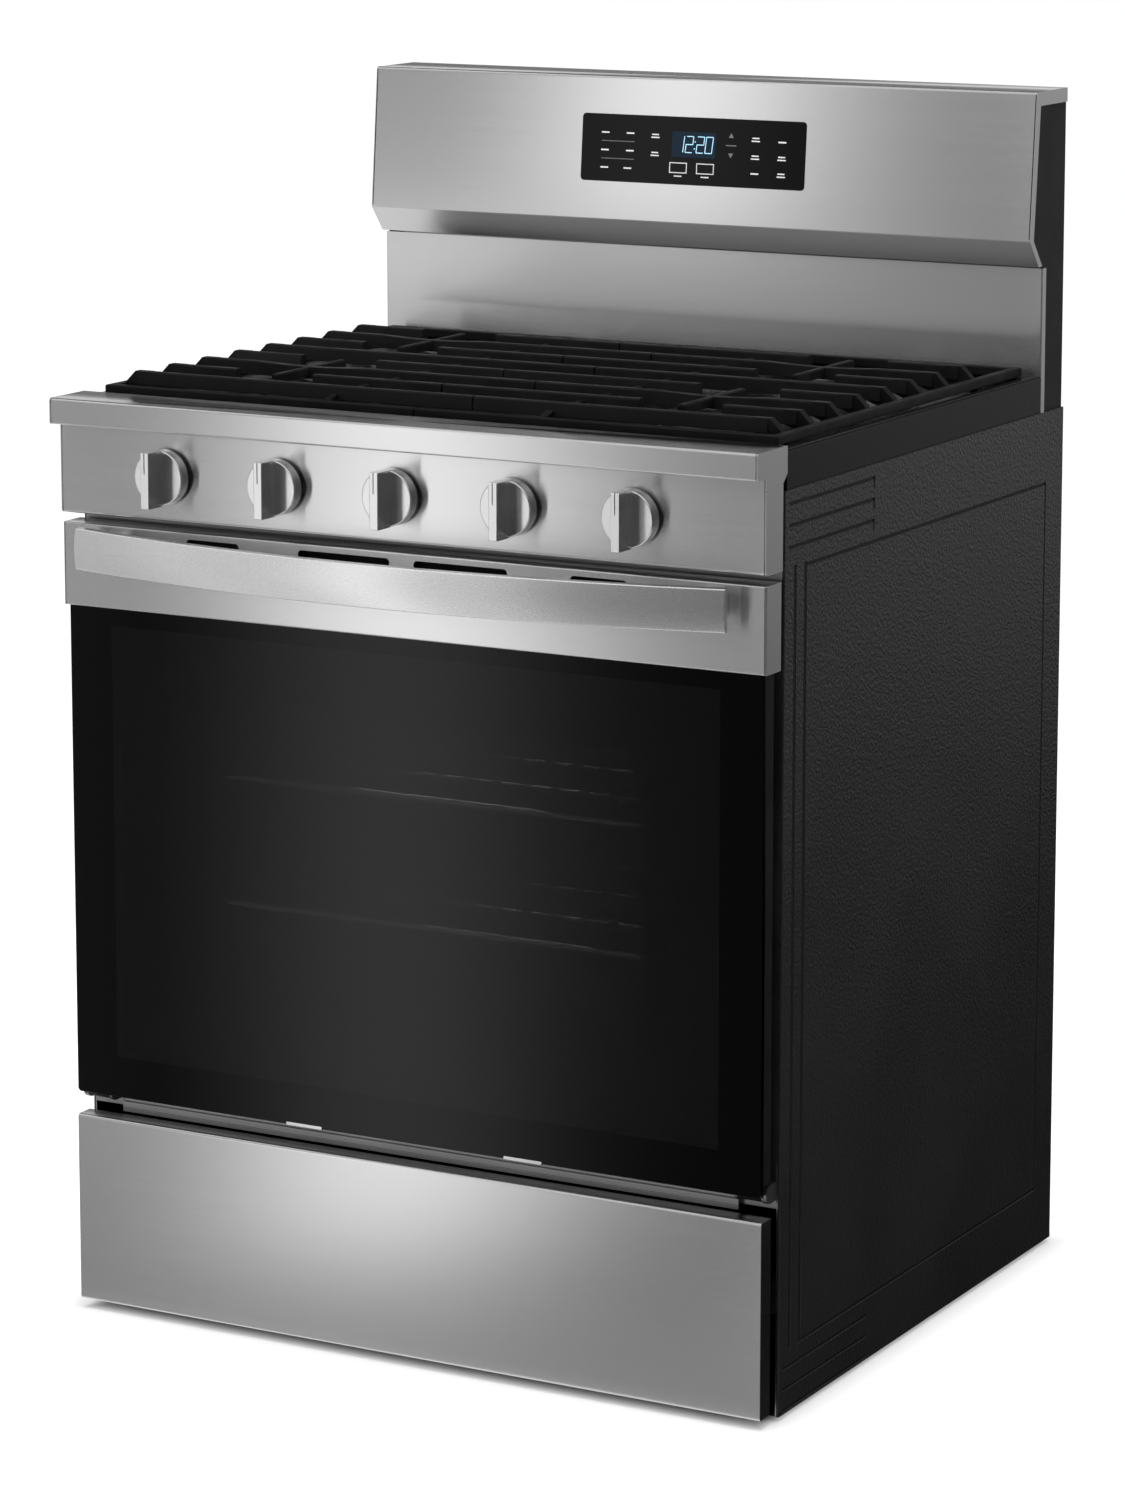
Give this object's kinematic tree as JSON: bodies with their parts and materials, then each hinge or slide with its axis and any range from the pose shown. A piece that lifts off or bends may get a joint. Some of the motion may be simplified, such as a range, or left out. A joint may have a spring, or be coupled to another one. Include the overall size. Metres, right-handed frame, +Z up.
{
  "type": "freestanding gas range",
  "caption": "Freestanding gas range with a bowed-handle oven door, storage drawer, push-and-turn knobs, interlocking cast-iron grates and a leaning rear console with a clock display.",
  "frame": {"origin": "floor level, under the middle of the whole range's width and depth", "axes": "+Z up, +X to the right of someone facing the range, front of the range towards -Y"},
  "size_m": [0.759, 0.74, 1.1937],
  "materials": {
    "stainless": "brushed along its length",
    "black_side_paint": "pebbled black paint",
    "black_paint": "satin black paint",
    "black_enamel": "glossy porcelain enamel",
    "oven_enamel": "speckled dark porcelain enamel",
    "galvanised": "zinc coated sheet",
    "iron": "matte black cast iron",
    "dark_glass": "tinted black glass",
    "clear_glass": "clear heat resistant glass",
    "knob_metal": "satin metal",
    "burner_metal": "cast aluminium",
    "brass": "machined brass",
    "chrome_wire": "plated wire",
    "steel_tube": "bare tube",
    "ceramic": "glazed ceramic",
    "fibre": "mineral fibre blanket",
    "gasket_braid": "woven glass braid",
    "board": "circuit board",
    "black_plastic": "moulded",
    "screw_metal": "plated"
  },
  "bodies": {
    "chassis": {"side_panel_left": "black_side_paint", "side_panel_right": "black_side_paint", "rear_panel": "galvanised", "base_frame": "black_paint", "levelling_feet": "black_plastic", "front_frame": "black_paint", "oven_cavity": "oven_enamel", "oven_insulation": "fibre", "oven_floor": "oven_enamel", "bake_burner": "steel_tube", "broil_burner": "steel_tube", "oven_lamp": "clear_glass", "fan_cover": "oven_enamel", "fan_motor": "galvanised", "oven_gasket": "gasket_braid", "hinge_receivers": "black_paint", "drawer_rails": "galvanised", "cooktop_deck": "black_enamel", "burner_heads": "burner_metal", "burner_caps": "black_enamel", "spark_igniters": "ceramic", "control_panel": "stainless", "panel_end_caps": "stainless", "gas_manifold": "steel_tube", "burner_valves": "brass", "supply_tubes": "steel_tube", "pressure_regulator": "burner_metal", "backsplash": "stainless", "console_shell": "stainless", "console_back": "black_paint", "display_glass": "dark_glass", "control_board": "board", "rear_screws": "screw_metal", "cord_gland": "black_plastic"},
    "door": {"door_frame": "black_paint", "door_glass": "dark_glass", "door_trim": "stainless", "door_handle": "stainless", "door_liner": "oven_enamel", "window_glass": "clear_glass", "hinge_arms": "black_paint"},
    "drawer": {"drawer_front": "stainless", "drawer_tray": "black_paint", "drawer_runners": "galvanised"},
    "rack_upper": {"oven_rack_upper": "chrome_wire"},
    "rack_lower": {"oven_rack_lower": "chrome_wire"},
    "grate_left": {"grate_left": "iron"},
    "grate_right": {"grate_right": "iron"},
    "fan": {"convection_fan": "steel_tube"},
    "plug_1": {"valve_plug_1": "brass"},
    "knob_1": {"knob_1": "knob_metal"},
    "plug_2": {"valve_plug_2": "brass"},
    "knob_2": {"knob_2": "knob_metal"},
    "plug_3": {"valve_plug_3": "brass"},
    "knob_3": {"knob_3": "knob_metal"},
    "plug_4": {"valve_plug_4": "brass"},
    "knob_4": {"knob_4": "knob_metal"},
    "plug_5": {"valve_plug_5": "brass"},
    "knob_5": {"knob_5": "knob_metal"}
  },
  "joints": [
    {"name": "door_hinge", "type": "hinge", "parent": "chassis", "child": "door", "pos_m": [0, -0.277, 0.2222], "axis": [1, 0, 0], "range_deg": [0, 90], "stiffness_Nm_per_rad": 22, "springref_deg": -20.05},
    {"name": "drawer_slide", "type": "slide", "parent": "chassis", "child": "drawer", "axis": [0, -1, 0], "range_m": [0, 0.4]},
    {"name": "upper_rack_slide", "type": "slide", "parent": "chassis", "child": "rack_upper", "axis": [0, -1, 0], "range_m": [0, 0.012]},
    {"name": "lower_rack_slide", "type": "slide", "parent": "chassis", "child": "rack_lower", "axis": [0, -1, 0], "range_m": [0, 0.012]},
    {"name": "left_grate_lift", "type": "slide", "parent": "chassis", "child": "grate_left", "axis": [0, 0, 1], "range_m": [0, 0.09]},
    {"name": "right_grate_lift", "type": "slide", "parent": "chassis", "child": "grate_right", "axis": [0, 0, 1], "range_m": [0, 0.09]},
    {"name": "fan_spin", "type": "hinge", "parent": "chassis", "child": "fan", "pos_m": [0, 0.22, 0.51], "axis": [0, 1, 0], "continuous": true},
    {"name": "knob_1_turn", "type": "hinge", "parent": "chassis", "child": "plug_1", "pos_m": [-0.2574, -0.302, 0.8448], "axis": [0, -1, 0], "range_deg": [0, 220]},
    {"name": "knob_1_push", "type": "slide", "parent": "plug_1", "child": "knob_1", "axis": [0, 1, 0], "range_m": [0, 0.0035], "stiffness_N_per_m": 700, "springref_m": -0.002},
    {"name": "knob_2_turn", "type": "hinge", "parent": "chassis", "child": "plug_2", "pos_m": [-0.1312, -0.302, 0.8448], "axis": [0, -1, 0], "range_deg": [0, 220]},
    {"name": "knob_2_push", "type": "slide", "parent": "plug_2", "child": "knob_2", "axis": [0, 1, 0], "range_m": [0, 0.0035], "stiffness_N_per_m": 700, "springref_m": -0.002},
    {"name": "knob_3_turn", "type": "hinge", "parent": "chassis", "child": "plug_3", "pos_m": [-0.005, -0.302, 0.8448], "axis": [0, -1, 0], "range_deg": [0, 220]},
    {"name": "knob_3_push", "type": "slide", "parent": "plug_3", "child": "knob_3", "axis": [0, 1, 0], "range_m": [0, 0.0035], "stiffness_N_per_m": 700, "springref_m": -0.002},
    {"name": "knob_4_turn", "type": "hinge", "parent": "chassis", "child": "plug_4", "pos_m": [0.1212, -0.302, 0.8448], "axis": [0, -1, 0], "range_deg": [0, 220]},
    {"name": "knob_4_push", "type": "slide", "parent": "plug_4", "child": "knob_4", "axis": [0, 1, 0], "range_m": [0, 0.0035], "stiffness_N_per_m": 700, "springref_m": -0.002},
    {"name": "knob_5_turn", "type": "hinge", "parent": "chassis", "child": "plug_5", "pos_m": [0.2474, -0.302, 0.8448], "axis": [0, -1, 0], "range_deg": [0, 220]},
    {"name": "knob_5_push", "type": "slide", "parent": "plug_5", "child": "knob_5", "axis": [0, 1, 0], "range_m": [0, 0.0035], "stiffness_N_per_m": 700, "springref_m": -0.002}
  ]
}
